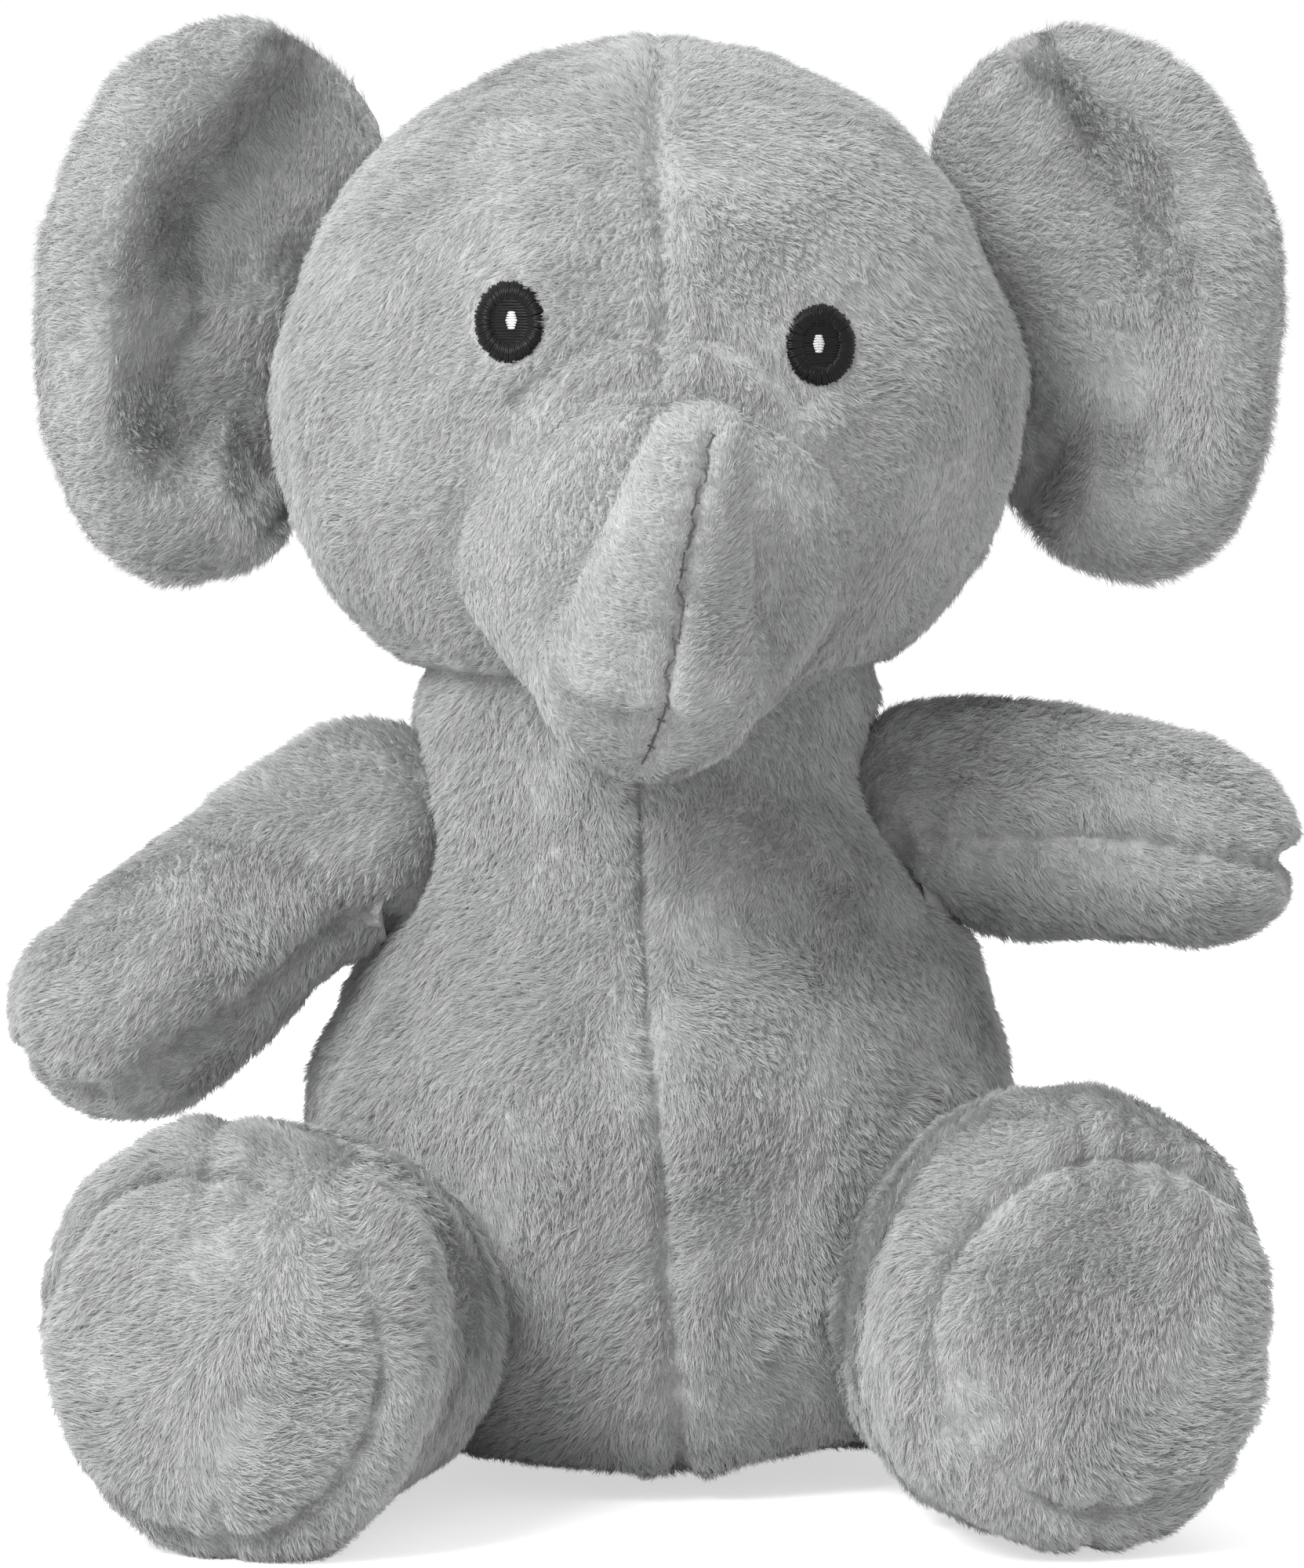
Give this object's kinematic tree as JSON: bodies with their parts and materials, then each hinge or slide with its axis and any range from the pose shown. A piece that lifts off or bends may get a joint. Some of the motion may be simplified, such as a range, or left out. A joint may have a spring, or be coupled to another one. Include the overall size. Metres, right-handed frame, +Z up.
{
  "type": "stuffed elephant",
  "caption": "Sitting stuffed elephant in short-pile plush with round head, big ears, upturned trunk and soft sewn limbs that bend.",
  "frame": {"origin": "middle of the flat seat, on the surface the toy sits on", "axes": "+Z up; the face and feet point along -Y; +X is the elephant's own left side"},
  "size_m": [0.201, 0.1817, 0.2304],
  "materials": {
    "grey_plush": "short plush pile",
    "stuffing": "polyester fibre",
    "black_thread": "satin stitch",
    "white_thread": "satin stitch",
    "label_cloth": "satin ribbon",
    "pellets": "small pellets in a cloth bag"
  },
  "bodies": {
    "torso": {"torso_front_left": "grey_plush", "torso_front_right": "grey_plush", "torso_back_left": "grey_plush", "torso_back_right": "grey_plush", "seat_panel": "grey_plush", "torso_filling": "stuffing", "pellet_bag": "pellets", "care_label": "label_cloth"},
    "neck": {"neck_filling": "stuffing"},
    "head": {"head_front_left": "grey_plush", "head_front_right": "grey_plush", "head_back_left": "grey_plush", "head_back_right": "grey_plush", "head_filling": "stuffing", "muzzle_left_panel": "grey_plush", "muzzle_right_panel": "grey_plush", "muzzle_filling": "stuffing", "eye_left_embroidery": "black_thread", "eye_right_embroidery": "black_thread", "eye_left_highlight": "white_thread", "eye_right_highlight": "white_thread"},
    "trunk": {"trunk_left_panel": "grey_plush", "trunk_right_panel": "grey_plush", "trunk_filling": "stuffing"},
    "tail": {"tail": "grey_plush"},
    "ear_left": {"ear_left_front": "grey_plush", "ear_left_back": "grey_plush", "ear_left_wadding": "stuffing"},
    "arm_left": {"arm_left_upper": "grey_plush", "arm_left_lower": "grey_plush", "arm_left_filling": "stuffing"},
    "leg_left": {"leg_left_outer": "grey_plush", "leg_left_inner": "grey_plush", "leg_left_sole": "grey_plush", "leg_left_filling": "stuffing"},
    "ear_right": {"ear_right_front": "grey_plush", "ear_right_back": "grey_plush", "ear_right_wadding": "stuffing"},
    "arm_right": {"arm_right_upper": "grey_plush", "arm_right_lower": "grey_plush", "arm_right_filling": "stuffing"},
    "leg_right": {"leg_right_outer": "grey_plush", "leg_right_inner": "grey_plush", "leg_right_sole": "grey_plush", "leg_right_filling": "stuffing"}
  },
  "joints": [
    {"name": "neck_turn", "type": "hinge", "parent": "torso", "child": "neck", "pos_m": [0, 0.008, 0.112], "axis": [0, 0, 1], "range_deg": [-25, 25], "stiffness_Nm_per_rad": 0.8},
    {"name": "head_nod", "type": "hinge", "parent": "neck", "child": "head", "pos_m": [0, 0.008, 0.112], "axis": [1, 0, 0], "range_deg": [-12, 12], "stiffness_Nm_per_rad": 1.5},
    {"name": "trunk_bend", "type": "hinge", "parent": "head", "child": "trunk", "pos_m": [-0.001, -0.068, 0.128], "axis": [-1, 0, 0], "range_deg": [-30, 15], "stiffness_Nm_per_rad": 0.05},
    {"name": "ear_left_flap", "type": "hinge", "parent": "head", "child": "ear_left", "pos_m": [0.0585, 0.014, 0.185], "axis": [0.1961, 0, -0.9806], "range_deg": [-20, 15], "stiffness_Nm_per_rad": 0.03},
    {"name": "ear_right_flap", "type": "hinge", "parent": "head", "child": "ear_right", "pos_m": [-0.0585, 0.014, 0.185], "axis": [0.1961, 0, 0.9806], "range_deg": [-20, 15], "stiffness_Nm_per_rad": 0.03},
    {"name": "arm_left_raise", "type": "hinge", "parent": "torso", "child": "arm_left", "pos_m": [0.042, 0.005, 0.1035], "axis": [0, -1, 0], "range_deg": [-15, 15], "stiffness_Nm_per_rad": 0.2},
    {"name": "arm_right_raise", "type": "hinge", "parent": "torso", "child": "arm_right", "pos_m": [-0.044, 0.005, 0.0995], "axis": [0, 1, 0], "range_deg": [-8, 35], "stiffness_Nm_per_rad": 0.2},
    {"name": "leg_left_lift", "type": "hinge", "parent": "torso", "child": "leg_left", "pos_m": [0.047, -0.014, 0.028], "axis": [-1, 0, 0], "range_deg": [0, 20], "stiffness_Nm_per_rad": 0.3},
    {"name": "leg_right_lift", "type": "hinge", "parent": "torso", "child": "leg_right", "pos_m": [-0.047, -0.014, 0.028], "axis": [-1, 0, 0], "range_deg": [0, 20], "stiffness_Nm_per_rad": 0.3},
    {"name": "tail_swing", "type": "hinge", "parent": "torso", "child": "tail", "pos_m": [0, 0.063, 0.052], "axis": [0, 1, 0], "range_deg": [-25, 25], "stiffness_Nm_per_rad": 0.005}
  ]
}
